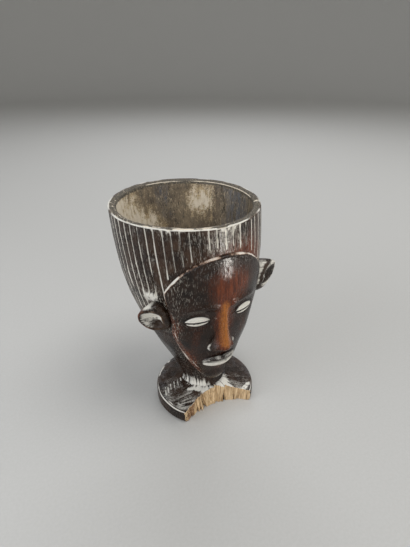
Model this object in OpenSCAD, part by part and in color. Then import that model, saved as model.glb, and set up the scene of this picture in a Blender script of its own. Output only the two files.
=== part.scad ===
// Carved wooden cup in the form of a head on a neck and a round foot whose front has broken away.
// +Z is up, the origin is the middle of the foot's flat underside and the face looks along -Y.
// Head, cup and neck share one axis, which leans back over the foot and a little to one side. Heights
// marked "on the axis" are measured along it from the origin, and turns are angles round it from the
// middle of the face.

/* [Cup] */
// Height of the level rim above the underside of the foot
cup_h = 130.5; // [122:0.5:145]
// Outer radius at the rim
rim_r = 43; // [40:0.5:48]
// Thickness of the whole wall at the rim
rim_wall = 4.5; // [3.6:0.1:6.5]
// Thickness of the whole wall where it turns into the floor of the cup
low_wall = 7.5; // [6:0.5:10]
// Thickness of the floor of the cup
floor_t = 7; // [4:0.5:12]
// Height of the rounding between wall and floor inside the cup
floor_round = 16; // [8:0.5:20]

/* [Head] */
// Backward lean of the axis, in degrees
lean = 8; // [0:0.5:10]
// Direction of the lean from straight back, in degrees
lean_turn = 11; // [-20:1:20]
// Radius of the head at the temples
temple_r = 39.5; // [36:0.5:42]
// Height of the temples on the axis
temple_z = 87; // [80:0.5:92]
// Radius of the head at the jaw
jaw_r = 23.3; // [20:0.1:26]
// Height of the jaw on the axis
jaw_z = 42; // [38:0.5:46]
// Radius of the neck where it stands on the foot
neck_r = 12.6; // [10:0.1:15]

/* [Hair] */
// Thickness of the layer of carved hair over the wall of the cup
hair_t = 2.2; // [1.6:0.1:3]
// Height of the nape on the axis, where the hair ends at the back
nape_z = 62; // [56:0.5:66]
// Height of the hair between the rim and the middle of the hairline in front
hair_front = 15; // [12:0.5:20]
// Height of the lower corners of the hairline on the axis
corner_z = 88; // [84:0.5:92]
// Number of lines cut into the hair
hair_lines = 58; // [40:1:72]
// Width of a line
line_w = 0.7; // [0.4:0.1:1.2]
// Depth of a line
line_d = 0.6; // [0.3:0.1:1.2]
// Uncut hair at both ends of a line
line_end = 2; // [1:0.5:4]

/* [Face] */
// Height of the point of the chin on the axis
chin_z = 21; // [19:0.5:30]
// Half of the angle that the face takes up at the corners of the hairline
face_turn = 50; // [45:1:58]
// How far the edge of the face stands out from the hair
hair_step = 1.6; // [1:0.1:3]
// How far the edge of the face stands out from the neck at the chin
jaw_step = 4.6; // [3:0.1:7]
// How far the forehead swells out
forehead_out = 1.4; // [0:0.1:3]
// How far the brows swell out
brow_out = 1.2; // [0:0.1:3]
// Depth of the eye sockets
socket_in = 2.2; // [1:0.1:3]
// How far the cheeks swell out
cheek_out = 1.3; // [0:0.1:3]
// How far the mouth swells out
mouth_out = 3; // [1:0.1:5]
// How far the chin swells out
chin_out = 2.6; // [1:0.1:5]
// How far the tip of the nose stands out from the face
nose_out = 9; // [6:0.5:12]
// How far the wings of the nose swell out
wing_out = 2.4; // [1:0.1:4]
// How far the eyelids stand out from the eye sockets
lid_out = 2.6; // [1.6:0.1:4]
// How far the lips stand out from the face
lip_out = 2.8; // [1.5:0.1:4]
// Height of one lip
lip_h = 4.6; // [3:0.1:6]

/* [Ears] */
// Height of the middle between both ears on the axis
ear_z = 80.5; // [77:0.5:84]
// How far the left ear sits above that middle, and the right ear below it
ear_lift = 4; // [0:0.5:5]
// Height of the ear
ear_h = 20; // [15:0.5:22]
// Width of the ear at its root
ear_w = 11; // [8:0.5:14]
// Turn of the middle of the ear from the middle of the face, in degrees
ear_turn = 55; // [52:0.5:62]
// How far the roll of the ear stands out from the head
ear_out = 10.5; // [8:0.5:14]
// Depth of the hollow inside the roll of the ear
ear_hollow = 5; // [2:0.5:6]
// How far the roll of the ear is swept back
ear_sweep = 2; // [0:0.5:3]

/* [Foot] */
// Radius of the foot
foot_r = 32.4; // [28:0.1:38]
// Thickness of the foot at its edge
foot_edge = 8; // [5:0.5:10]
// Height of the foot where the neck stands on it
foot_h = 14; // [12:0.5:17]
// Land of the foot round the neck
foot_land = 0.6; // [0.3:0.1:2]
// Direction of the broken side of the foot, in degrees from straight ahead
break_turn = -3; // [-30:1:30]
// How far the broken side leans in towards the neck, in degrees
break_lean = 6; // [0:1:12]
// How far the ends of the break lie out from its middle
break_hollow = 7; // [4:0.5:9]
// Depth of the splinters along the break
splinter = 0.9; // [0.2:0.1:1.5]

/* [Hidden] */
$fn = 96;
// Gap between a carved relief and the round it lies on
seat_gap = 0.08;
// Gap between an ear and the face
ear_gap = 0.6;
// Half of the gap between the lips
lip_gap = 0.15;
// Thickness at the feathered border of a relief
feather = 0.5;
// Depth of the slit between the eyelids
lid_slit = 0.9;
// Dip in the middle of the upper lip
lip_bow = 0.8;
// Bevel round the underside of the foot
foot_bevel = 0.8;
// Room for cuts that pass a surface
over = 6;

// Places on the axis
rim_z = cup_h / cos(lean);
neck_z = foot_h / cos(lean);
function rim_at(turn) = rim_z - rim_r * cos(turn - lean_turn) * tan(lean);
rim_top_z = rim_z + rim_r * tan(lean);
hairline_z = rim_at(0) - hair_front;
floor_z = nape_z + floor_t;
function ear_mid(side) = ear_z + side * ear_lift;

// Side view of the head: height, radius and slope at the neck, jaw, temples and rim
stations = [[neck_z, neck_r, 0.1], [jaw_z, jaw_r, 0.44], [temple_z, temple_r, 0.21], [rim_z, rim_r, 0]];
function hermite(a, b, z) =
    let (h = b[0] - a[0], t = (z - a[0]) / h)
    (2 * t ^ 3 - 3 * t ^ 2 + 1) * a[1] + (t ^ 3 - 2 * t ^ 2 + t) * h * a[2]
    + (3 * t ^ 2 - 2 * t ^ 3) * b[1] + (t ^ 3 - t ^ 2) * h * b[2];
function head_r(z) =
    z <= neck_z ? neck_r + (z - neck_z) * stations[0][2]
    : z >= rim_z ? rim_r
    : z < jaw_z ? hermite(stations[0], stations[1], z)
    : z < temple_z ? hermite(stations[1], stations[2], z)
    : hermite(stations[2], stations[3], z);

// Evenly spaced values from a to b
function spread(a, b, n) = [for (i = [0:n]) a + (b - a) * i / n];

// Thirds and fifths of the face: hairline, brow, nose and chin are a third apart,
// and the head is five eyes wide
face_h = hairline_z - chin_z;
brow_z = hairline_z - face_h / 3;
nose_z = hairline_z - face_h * 2 / 3;
mouth_z = nose_z - face_h / 9;
eye_z = brow_z - face_h / 12;
eye_w = head_r(eye_z) * 2 / 5;
eye_x = eye_w;

// Turns at which the face ends in front of the ear, and the head is free again behind it
ear_half_turn = ear_w / 2 / head_r(ear_z) * 180 / PI;
ear_gap_turn = ear_turn - ear_half_turn - ear_gap / head_r(ear_z) * 180 / PI;
ear_back_turn = ear_turn + ear_half_turn;

// Half of the angle that the face takes up at a height: arched hairline, notch at the ear, oval jaw
arch = 2.2;
arch_fall = 0.9;
function oval_turn(z) =
    z > corner_z
    ? face_turn * (1 - ((z - corner_z) / (hairline_z - corner_z)) ^ (1 / arch_fall)) ^ (1 / arch)
    : face_turn * sqrt(1 - ((corner_z - z) / (corner_z - chin_z)) ^ 4);
function ear_notch(z) = exp(-((z - ear_z) / (ear_h / 2 + ear_lift)) ^ 6);
function edge_turn(z) =
    let (oval = oval_turn(z))
    oval - max(0, oval - ear_gap_turn) * ear_notch(z);
// Height of the hairline at a turn
function hairline_at(turn) =
    corner_z + (hairline_z - corner_z) * (1 - (turn / face_turn) ^ arch) ^ arch_fall;

// Modelling of the face over its plain shield: rise, distance from the middle, half width,
// height on the axis and half height of each soft swelling or hollow
swells = [
    [forehead_out, 0, eye_w, hairline_z - face_h / 6, face_h / 9],
    [brow_out, eye_x, eye_w * 0.7, brow_z - face_h / 80, face_h / 27],
    [-socket_in, eye_x, eye_w * 0.62, eye_z, face_h / 16],
    [cheek_out, eye_x * 1.15, eye_w * 0.55, nose_z + face_h / 15, face_h / 11],
    [mouth_out, 0, eye_w * 0.85, mouth_z, face_h / 9],
    [chin_out, 0, eye_w * 0.55, chin_z + face_h / 18, face_h / 18]
];
function swell(x, z, s) = s[0] * exp(-((abs(x) - s[1]) / s[2]) ^ 2 - ((z - s[3]) / s[4]) ^ 2);
function swelling(x, z, i = 0) = i < len(swells) ? swell(x, z, swells[i]) + swelling(x, z, i + 1) : 0;
function shield(z) = hair_step + (jaw_step - hair_step) * ((hairline_z - z) / face_h) ^ 1.5;
edge_drop = 0.35;
function face_rise(turn, z) =
    let (u = min(1, abs(turn) / edge_turn(z)), x = head_r(z) * turn * PI / 180)
    shield(z) * (1 - edge_drop * u ^ 10) + swelling(x, z) * (1 - u ^ 4);

// Point at a turn and a height on the axis that stands a rise out from the round of the head
function on_head(turn, z, rise) =
    let (r = head_r(z) + rise)
    [r * sin(turn), -r * cos(turn), z];
// The same, standing out from the face, at a distance x round from the middle
function on_face(x, z, rise) =
    let (turn = x / head_r(z) * 180 / PI)
    on_head(turn, z, face_rise(turn, z) + rise);

// Closed solid between two grids of points: rows run up, columns run to the right seen from outside
module relief(back, front) {
    rows = len(front);
    cols = len(front[0]);
    count = rows * cols;
    function at(side, j, i) = side * count + j * cols + i;
    skin = [for (j = [0:rows - 2], i = [0:cols - 2])
        for (half = [[[j, i], [j + 1, i], [j + 1, i + 1]], [[j, i], [j + 1, i + 1], [j, i + 1]]])
            half];
    border = concat([for (i = [0:cols - 2]) [0, i]], [for (j = [0:rows - 2]) [j, cols - 1]],
                    [for (i = [cols - 1:-1:1]) [rows - 1, i]], [for (j = [rows - 1:-1:1]) [j, 0]]);
    edge = len(border);
    function next(k) = border[(k + 1) % edge];
    faces = concat(
        [for (f = skin) [for (p = f) at(1, p[0], p[1])]],
        [for (f = skin) [at(0, f[0][0], f[0][1]), at(0, f[2][0], f[2][1]), at(0, f[1][0], f[1][1])]],
        [for (k = [0:edge - 1]) [at(0, border[k][0], border[k][1]), at(1, border[k][0], border[k][1]),
                                 at(1, next(k)[0], next(k)[1])]],
        [for (k = [0:edge - 1]) [at(0, border[k][0], border[k][1]), at(1, next(k)[0], next(k)[1]),
                                 at(0, next(k)[0], next(k)[1])]]);
    polyhedron(points = concat([for (row = back) each row], [for (row = front) each row]), faces = faces);
}

// Leans what is drawn round the axis, and cuts it level at the rim
module leaning() {
    rotate([0, 0, lean_turn])
        rotate([-lean, 0, 0])
            rotate([0, 0, -lean_turn])
                children();
}
module level_top() {
    difference() {
        leaning()
            children();
        translate([-2 * rim_r, -2 * rim_r, cup_h])
            cube([4 * rim_r, 4 * rim_r, 2 * rim_r]);
    }
}

// Round of the head, drawn out by a gap, from one height on the axis to another
module head_round(z0, z1, gap) {
    rotate_extrude()
        polygon(concat([[0, z0]], [for (z = spread(z0, z1, 16)) [head_r(z) + gap, z]], [[0, z1]]));
}

// Inner vessel: wall behind the hair, floor and hollow
module cup_bowl() {
    top_z = rim_top_z + over;
    function wall(z) = low_wall + (rim_wall - low_wall) * (z - floor_z) / (rim_z - floor_z);
    function rounding(z) = (1 - max(0, (floor_z + floor_round - z) / floor_round) ^ 2.4) ^ (1 / 2.4);
    function hollow_r(z) = (head_r(z) - wall(min(z, rim_z))) * rounding(z);
    turns = spread(0, 90, 8);
    low = [for (a = turns) floor_z + floor_round * (1 - cos(a))];
    high = spread(floor_z + floor_round, top_z, 8);
    hollow_zs = concat(low, [for (i = [1:8]) high[i]]);
    color("#4a3a2e")
        level_top()
            rotate_extrude()
                polygon(concat(
                    [[0, nape_z]],
                    [for (z = spread(nape_z, top_z, 14)) [head_r(z) - hair_t, z]],
                    [for (i = [len(hollow_zs) - 1:-1:1]) [hollow_r(hollow_zs[i]), hollow_zs[i]]],
                    [[0, floor_z]]));
}

// Layer of hair round the cup, with lines cut from the rim to the hairline, the ears and the nape
module coiffure() {
    top_z = rim_top_z + over;
    zs = spread(nape_z, top_z, 14);
    color("#241a16")
        level_top()
            difference() {
                rotate_extrude()
                    polygon(concat(
                        [for (z = zs) [head_r(z), z]],
                        [for (i = [len(zs) - 1:-1:0]) [head_r(zs[i]) - hair_t, zs[i]]]));
                for (k = [0:hair_lines - 1]) {
                    turn = (k + 0.5) * 360 / hair_lines;
                    side = min(turn, 360 - turn);
                    ear_top = ear_mid(turn < 180 ? 1 : -1) + ear_h / 2;
                    foot_of_line = side < ear_gap_turn ? hairline_at(side)
                                 : side < ear_back_turn ? ear_top : nape_z;
                    cut = spread(foot_of_line + line_end, rim_at(turn) - line_end, 6);
                    rotate([0, 0, turn - 90])
                        rotate([90, 0, 0])
                            linear_extrude(line_w, center = true)
                                polygon(concat(
                                    [for (z = cut) [head_r(z) - line_d, z]],
                                    [[rim_r + over, cut[6]], [rim_r + over, cut[0]]]));
                }
            }
}

// Raised face: an oval shield with brow, sockets, cheeks, mouth and chin modelled on it
module face() {
    rows = 36;
    cols = 30;
    ends = 4;
    steps = [for (j = [0:rows]) (1 - cos(ends + (180 - 2 * ends) * j / rows)) / 2];
    zs = [for (s = steps) chin_z + face_h * s];
    function turns(z) = spread(-edge_turn(z), edge_turn(z), cols);
    color("#2e1b14")
        leaning()
            relief([for (z = zs) [for (turn = turns(z)) on_head(turn, z, seat_gap)]],
                   [for (z = zs) [for (turn = turns(z)) on_head(turn, z, face_rise(turn, z))]]);
}

// Straight nose with a narrow root, wings at the nostrils and a flat underside
module nose() {
    rows = 20;
    cols = 14;
    root_half = eye_w * 0.17;
    base_half = eye_w * 0.5;
    zs = spread(nose_z, brow_z - face_h / 80, rows);
    function down(z) = (brow_z - z) / (brow_z - nose_z);
    function half(z) = (root_half + (base_half - root_half) * down(z) ^ 2.4)
                     * (1 - 0.22 * max(0, (down(z) - 0.9) / 0.1) ^ 2);
    function tip(z) = 1 - 0.35 * max(0, (down(z) - 0.88) / 0.12) ^ 2;
    function ridge(z) = nose_out * (0.1 + 0.9 * down(z) ^ 1.3) * tip(z);
    function wing(u, z) = wing_out * exp(-((abs(u) - 0.72) / 0.2) ^ 2 - ((down(z) - 0.93) / 0.09) ^ 2);
    function rise(u, z) = feather + ridge(z) * (1 - abs(u) ^ 1.5) ^ 1.2 + wing(u, z);
    color("#5a2f1a")
        leaning()
            relief([for (z = zs) [for (u = spread(-1, 1, cols)) on_face(u * half(z), z, seat_gap)]],
                   [for (z = zs) [for (u = spread(-1, 1, cols)) on_face(u * half(z), z, rise(u, z))]]);
}

// Almond of closed lids with a level slit, on the right for side 1 and on the left for side -1
module eye(side) {
    rows = 12;
    cols = 16;
    tall = eye_w * 0.23;
    corner = eye_w * 0.03;
    function half(u) = tall * (1 - u ^ 2) + corner;
    function dome(u, v) = (lid_out - feather) * (1 - abs(u) ^ 2.5) * (1 - v ^ 2);
    function slit(u, v) = lid_slit * exp(-((v + 0.12) / 0.13) ^ 2) * (1 - u ^ 4);
    function lid(u, v) = feather + max(0, dome(u, v) - slit(u, v));
    function grid(flat) = [for (v = spread(-1, 1, rows)) [for (u = spread(-1, 1, cols))
        on_face(side * eye_x + u * eye_w / 2, eye_z + v * half(u), flat ? seat_gap : lid(u, v))]];
    color("#d9d2c2")
        leaning()
            relief(grid(true), grid(false));
}
module eye_right() {
    eye(-1);
}
module eye_left() {
    eye(1);
}

// One lip that swells from the line of the mouth, up for way 1 and down for way -1
module lip(way, half_w, full, bow) {
    rows = 7;
    cols = 18;
    function taper(u) = 0.12 + 0.88 * (1 - abs(u) ^ 2.2);
    function off(u, v) = lip_gap + (full - bow * exp(-(u / 0.16) ^ 2)) * v * taper(u);
    function rise(u, v) = feather + (lip_out - feather) * taper(u) * sqrt(1 - ((v - 0.35) / 0.65) ^ 2);
    vs = way > 0 ? spread(0, 1, rows) : spread(1, 0, rows);
    function grid(flat) = [for (v = vs) [for (u = spread(-1, 1, cols))
        on_face(u * half_w, mouth_z + way * off(u, v), flat ? seat_gap : rise(u, v))]];
    relief(grid(true), grid(false));
}
module upper_lip() {
    color("#3a231a")
        leaning()
            lip(1, eye_w * 0.7, lip_h, lip_bow);
}
module lower_lip() {
    color("#cfc6b4")
        leaning()
            lip(-1, eye_w * 0.66, lip_h, 0);
}

// Ear carved out of the round of the head: a roll in the form of a C round a hollow that opens forward,
// fullest at the back and low in front, on the left for side 1 and on the right for side -1
module ear(side) {
    rows = 26;
    cols = 18;
    // Crest of the roll and edge of the hollow, as shares of the way from the middle to the outline
    crest = 0.68;
    bowl = 0.2;
    // Height of the roll in front as a share of its height at the back, and how far up it is fullest
    low_roll = 0.35;
    fullest = 14;
    function half(v) = ear_w / 2 * max(0.3, (1 - abs(v) ^ 2.4) ^ 0.5);
    function out(u, v) = min(1, (abs(u) ^ 4 + abs(v) ^ 4) ^ 0.25);
    function ease(t) = let (s = min(1, max(0, t))) s * s * (3 - 2 * s);
    function roll(u, v) = ear_out * (low_roll + (1 - low_roll) * (1 + cos(atan2(v, u) - fullest)) / 2);
    function bed(u) = (ear_out - ear_hollow) * (0.7 + 0.3 * u);
    function rise(u, v) =
        let (up = ease((out(u, v) - bowl) / (crest - bowl)), fall = max(0, (out(u, v) - crest) / (1 - crest)))
        (bed(u) * (1 - up) + roll(u, v) * up) * (1 - 0.6 * fall ^ 2);
    function place(u, v, rise) =
        let (z = ear_mid(side) + v * ear_h / 2, back = u * half(v) + ear_sweep * (rise / ear_out) ^ 2)
        on_head(side * (ear_turn + back / head_r(z) * 180 / PI), z, rise);
    us = side > 0 ? spread(-1, 1, cols) : spread(1, -1, cols);
    function grid(flat) = [for (v = spread(-1, 1, rows)) [for (u = us)
        place(u, v, flat ? seat_gap : rise(u, v))]];
    color("#2a1d17")
        leaning()
            relief(grid(true), grid(false));
}
module ear_right() {
    ear(-1);
}
module ear_left() {
    ear(1);
}

// Lower head and neck: a solid round from the nape down to the foot, cut level where it stands
module neck() {
    color("#1f1714")
        difference() {
            leaning()
                head_round(0, nape_z, 0);
            translate([-foot_r, -foot_r, foot_h - 2 * foot_r])
                cube(2 * foot_r);
        }
}

// Round foot that sweeps up to the neck, with its front broken away
module foot() {
    seat_r = neck_r / cos(lean) + foot_land;
    sweep = 1.7;
    function top(r) = foot_edge + (foot_h - foot_edge) * ((foot_r - r) / (foot_r - seat_r)) ^ sweep;
    color("#1b1716")
        difference() {
            rotate_extrude()
                polygon(concat(
                    [[0, 0], [foot_r - foot_bevel, 0], [foot_r, foot_bevel]],
                    [for (r = spread(foot_r, seat_r, 8)) [r, top(r)]],
                    [[0, foot_h]]));
            rotate([0, 0, break_turn])
                translate([0, -seat_r, foot_h])
                    rotate([-break_lean, 0, 0])
                        translate([0, 0, -2 * foot_h])
                            linear_extrude(4 * foot_h)
                                break_outline();
        }
}
// Plan of the piece that is missing: a hollow line of splinters, closed beyond the foot
module break_outline() {
    function line(t) = -break_hollow * (t / (0.7 * foot_r)) ^ 2;
    function tooth(t) = splinter * (sin(t * 61) + 0.6 * sin(t * 143)) / 2 - splinter;
    ts = spread(-foot_r, foot_r, 44);
    polygon(concat([for (t = ts) [t, line(t) + tooth(t)]], [[foot_r, -2 * foot_r], [-foot_r, -2 * foot_r]]));
}

cup_bowl();
coiffure();
face();
nose();
eye_right();
eye_left();
upper_lip();
lower_lip();
ear_right();
ear_left();
neck();
foot();
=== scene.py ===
import math

import bpy
import numpy as np
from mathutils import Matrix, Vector


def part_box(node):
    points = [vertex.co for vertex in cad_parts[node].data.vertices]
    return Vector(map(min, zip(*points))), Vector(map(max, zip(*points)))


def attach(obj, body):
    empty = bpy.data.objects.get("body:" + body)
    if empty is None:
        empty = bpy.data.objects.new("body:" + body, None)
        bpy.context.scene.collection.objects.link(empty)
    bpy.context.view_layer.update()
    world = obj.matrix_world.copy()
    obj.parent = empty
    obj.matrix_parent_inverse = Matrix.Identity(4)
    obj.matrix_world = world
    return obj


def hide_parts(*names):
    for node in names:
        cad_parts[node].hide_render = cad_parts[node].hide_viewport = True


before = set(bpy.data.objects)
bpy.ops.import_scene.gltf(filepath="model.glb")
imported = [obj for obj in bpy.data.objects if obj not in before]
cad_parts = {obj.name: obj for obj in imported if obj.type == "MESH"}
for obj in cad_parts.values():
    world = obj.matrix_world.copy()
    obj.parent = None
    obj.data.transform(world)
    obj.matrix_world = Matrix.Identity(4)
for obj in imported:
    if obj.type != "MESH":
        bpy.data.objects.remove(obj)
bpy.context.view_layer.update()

# A carved drinking cup in the form of a head, on a neck and a round foot whose front has broken away.
# Sizes are in millimetres. Heights z are measured on the leaning axis of the head from the middle of the
# foot's underside, and turns are angles round that axis from the middle of the face, in radians.
MM = 0.001
CUP_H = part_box("coiffure")[1].z / MM
FOOT_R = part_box("foot")[1].y / MM
FOOT_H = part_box("foot")[1].z / MM

# Head and cup, leaning back and a little to the figure's right
LEAN = math.radians(8)
LEAN_TURN = math.radians(11)
RIM_R, RIM_WALL, LOW_WALL = 43, 4.5, 7.5
NECK_R, NECK_SLOPE = 12.6, 0.1
JAW_R, JAW_Z, JAW_SLOPE = 23.3, 42, 0.44
TEMPLE_R, TEMPLE_Z, TEMPLE_SLOPE = 39.5, 87, 0.21
NAPE_Z, FLOOR_T = 62, 7
FLOOR_Z = NAPE_Z + FLOOR_T
FLOOR_ROUND, FLOOR_BEND = 16, 2.4
RIM_Z = CUP_H / math.cos(LEAN)
NECK_Z = FOOT_H / math.cos(LEAN)

# Hair
HAIR_T = 2.2
HAIR_LINES = 58
LINE_D = 0.6
HAIR_FRONT = 15
HAIRLINE_Z = RIM_Z - RIM_R * math.cos(LEAN_TURN) * math.tan(LEAN) - HAIR_FRONT
CORNER_Z = 88
ARCH, ARCH_FALL = 2.2, 0.9

# Ears, the figure's left one lifted and its right one as far lowered
EAR_Z, EAR_LIFT, EAR_H, EAR_W = 80.5, 4, 20, 11
EAR_OUT, EAR_HOLLOW, EAR_SWEEP, EAR_GAP = 10.5, 5, 2, 0.6
EAR_TURN = math.radians(55)

# Face, on thirds of its height and fifths of its width
CHIN_Z = 21
FACE_TURN = math.radians(50)
HAIR_STEP, JAW_STEP = 1.6, 4.6
NOSE_OUT, LID_OUT, LIP_OUT, LIP_H = 9, 2.6, 2.8, 4.6
FACE_H = HAIRLINE_Z - CHIN_Z
BROW_Z = HAIRLINE_Z - FACE_H / 3
NOSE_Z = HAIRLINE_Z - FACE_H * 2 / 3
MOUTH_Z = NOSE_Z - FACE_H / 9
EYE_Z = BROW_Z - FACE_H / 12

# Foot
FOOT_EDGE, FOOT_SWEEP = 8, 1.7
FOOT_LAND = 0.6
SEAT_R = NECK_R / math.cos(LEAN) + FOOT_LAND
BREAK_TURN = math.radians(-3)
BREAK_LEAN = math.radians(6)
BREAK_HOLLOW, FIBRE_ROOM = 7, 0.9


# Fields and profiles

def ease(a, b, x):
    """Rises smoothly from 0 at a to 1 at b."""
    t = np.clip((x - a) / (b - a), 0, 1)
    return t * t * (3 - 2 * t)


def bell(x, wide):
    """1 in the middle, falling off over about the given width."""
    return np.exp(-(x / wide) ** 2)


def scatter(i, j, seed):
    """Repeatable random value from 0 to 1 for each pair of whole numbers."""
    return np.modf(np.abs(np.sin(i * 127.1 + j * 311.7 + seed * 74.7) * 43758.5453))[0]


def mottle(a, b, seed, around=0):
    """Smooth random field from 0 to 1 with one patch per unit, that repeats after so many units of a."""
    i, j = np.floor(a), np.floor(b)
    ta, tb = ease(0, 1, a - i), ease(0, 1, b - j)

    def corner(di, dj):
        k = (i + di) % around if around else i + di
        return scatter(k, j + dj, seed)

    low = corner(0, 0) * (1 - ta) + corner(1, 0) * ta
    high = corner(0, 1) * (1 - ta) + corner(1, 1) * ta
    return low * (1 - tb) + high * tb


def knife(a, b, seed, around=0):
    """Height from 0 to about 0.7 over shallow knife cuts, one per unit, that meet in low ridges."""
    i, j = np.floor(a), np.floor(b)
    nearest = np.full(np.broadcast(a, b).shape, 9.0)
    for di in (-1, 0, 1):
        for dj in (-1, 0, 1):
            k = (i + di) % around if around else i + di
            off_a = i + di + scatter(k, j + dj, seed) - a
            off_b = j + dj + scatter(k, j + dj, seed + 1) - b
            nearest = np.minimum(nearest, off_a ** 2 + off_b ** 2)
    return nearest


def stroke(x, y, start, end, wide):
    """1 along a short straight mark from start to end, falling off over about the given width."""
    run_x, run_y = end[0] - start[0], end[1] - start[1]
    share = np.clip(((x - start[0]) * run_x + (y - start[1]) * run_y) / (run_x ** 2 + run_y ** 2), 0, 1)
    return bell(np.hypot(x - start[0] - run_x * share, y - start[1] - run_y * share), wide)


def once_round(columns):
    """Angles of so many points, once round."""
    return np.arange(columns) * 2 * math.pi / columns


def mottle_round(turn, patches, b, seed):
    """Smooth random field with so many patches once round the axis."""
    return mottle(turn * patches / (2 * math.pi), b, seed, patches)


def knife_round(turn, cuts, b, seed):
    """Knife cuts, so many once round the axis."""
    return knife(turn * cuts / (2 * math.pi), b, seed, cuts)


def head_r(z):
    """Radius of the round of the head at a height on the axis."""
    z = np.asarray(z, float)
    stations = [(NECK_Z, NECK_R, NECK_SLOPE), (JAW_Z, JAW_R, JAW_SLOPE),
                (TEMPLE_Z, TEMPLE_R, TEMPLE_SLOPE), (RIM_Z, RIM_R, 0)]
    r = np.where(z < NECK_Z, NECK_R + (z - NECK_Z) * NECK_SLOPE, RIM_R)
    for (za, ra, sa), (zb, rb, sb) in zip(stations, stations[1:]):
        h = zb - za
        t = (z - za) / h
        curve = ((2 * t ** 3 - 3 * t ** 2 + 1) * ra + (t ** 3 - 2 * t ** 2 + t) * h * sa
                 + (3 * t ** 2 - 2 * t ** 3) * rb + (t ** 3 - t ** 2) * h * sb)
        r = np.where((z >= za) & (z < zb), curve, r)
    return r


EYE_W = float(head_r(EYE_Z)) * 2 / 5
EAR_HALF_TURN = EAR_W / 2 / float(head_r(EAR_Z))
EAR_FRONT_TURN = EAR_TURN - EAR_HALF_TURN - EAR_GAP / float(head_r(EAR_Z))


def rim_z(turn, r):
    """Height on the axis at which the level rim crosses the head at a turn and a radius."""
    return RIM_Z - r * np.cos(turn - LEAN_TURN) * math.tan(LEAN)


def side_of(turn):
    """Turn away from the middle of the face, whichever way round."""
    return np.abs((turn + math.pi) % (2 * math.pi) - math.pi)


def degrees_from(turn, middle):
    """Degrees from a turn, given in degrees, the short way round."""
    return (np.degrees(turn) - middle + 180) % 360 - 180


def about(turn, middle, wide):
    """1 at a turn, given in degrees, falling off over about so many degrees to each side."""
    return bell(degrees_from(turn, middle), wide)


def edge_turn(z):
    """Half of the angle that the face takes up: arched hairline, notch at the ear, oval jaw."""
    up = np.clip((z - CORNER_Z) / (HAIRLINE_Z - CORNER_Z), 0, 1)
    down = np.clip((CORNER_Z - z) / (CORNER_Z - CHIN_Z), 0, 1)
    arched = (1 - up ** (1 / ARCH_FALL)) ** (1 / ARCH)
    oval = FACE_TURN * np.where(z > CORNER_Z, arched, np.sqrt(1 - down ** 4))
    notch = np.exp(-((z - EAR_Z) / (EAR_H / 2 + EAR_LIFT)) ** 6)
    return oval - np.maximum(0, oval - EAR_FRONT_TURN) * notch


def hairline_at(turn):
    """Height of the hairline at a turn."""
    share = np.clip(turn / FACE_TURN, 0, 1)
    return CORNER_Z + (HAIRLINE_Z - CORNER_Z) * (1 - share ** ARCH) ** ARCH_FALL


def leaning(turn, z, r):
    """Points of the head, in metres in the part's own frame."""
    x, y = r * np.sin(turn), -r * np.cos(turn)
    back_x, back_y = -math.sin(LEAN_TURN), math.cos(LEAN_TURN)
    back = x * back_x + y * back_y
    shift = back * math.cos(LEAN) + z * math.sin(LEAN) - back
    placed = [x + shift * back_x, y + shift * back_y, z * math.cos(LEAN) - back * math.sin(LEAN)]
    return np.stack(np.broadcast_arrays(*placed), -1) * MM


# Meshes

def skin(name, rows, masks, ring=False):
    """Closed mesh over loops of points. The end loops are closed at their middles, or joined to make a ring.
    Masks are values at the points that the materials read by name."""
    count, around = rows.shape[:2]
    points = rows.reshape(-1, 3)
    j, i = np.meshgrid(np.arange(count if ring else count - 1), np.arange(around), indexing="ij")
    below, above, aside = j * around, (j + 1) % count * around, (i + 1) % around
    quads = np.stack([below + i, below + aside, above + aside, above + i], -1).reshape(-1, 4)
    faces = quads.tolist()
    ends = []
    if not ring:
        ends = [rows[0].mean(0), rows[-1].mean(0)]
        first, last, top = count * around, count * around + 1, (count - 1) * around
        step = np.arange(around)
        after = (step + 1) % around
        faces += np.stack([after, step, np.full(around, first)], -1).tolist()
        faces += np.stack([top + step, top + after, np.full(around, last)], -1).tolist()
    mesh = bpy.data.meshes.new(name)
    mesh.from_pydata(np.concatenate([points, np.reshape(ends, (-1, 3))]).tolist(), [], faces)
    for label, values in masks.items():
        flat = np.broadcast_to(np.array(values), rows.shape[:2]).ravel()
        if not ring:
            flat = np.concatenate([flat, [np.mean(flat[:around]), np.mean(flat[-around:])]])
        layer = mesh.attributes.new(label, "FLOAT", "POINT")
        layer.data.foreach_set("value", np.clip(flat, 0, 1).astype(np.float32))
    mesh.shade_smooth()
    mesh.update()
    piece = bpy.data.objects.new(name, mesh)
    bpy.context.scene.collection.objects.link(piece)
    return piece


def patch(shares, outline, middle):
    """Loops from an outline in to a middle, both as distance round the head and height on the axis."""
    outline = np.asarray(outline, float)
    shares = np.asarray(shares)[:, None, None]
    return middle + (outline - middle) * shares


def on_round(x, z, rise):
    """Points that stand out from the round of the head, at a distance x round it from the face's middle."""
    r = head_r(z)
    return leaning(x / r, z, r + rise)


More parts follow.
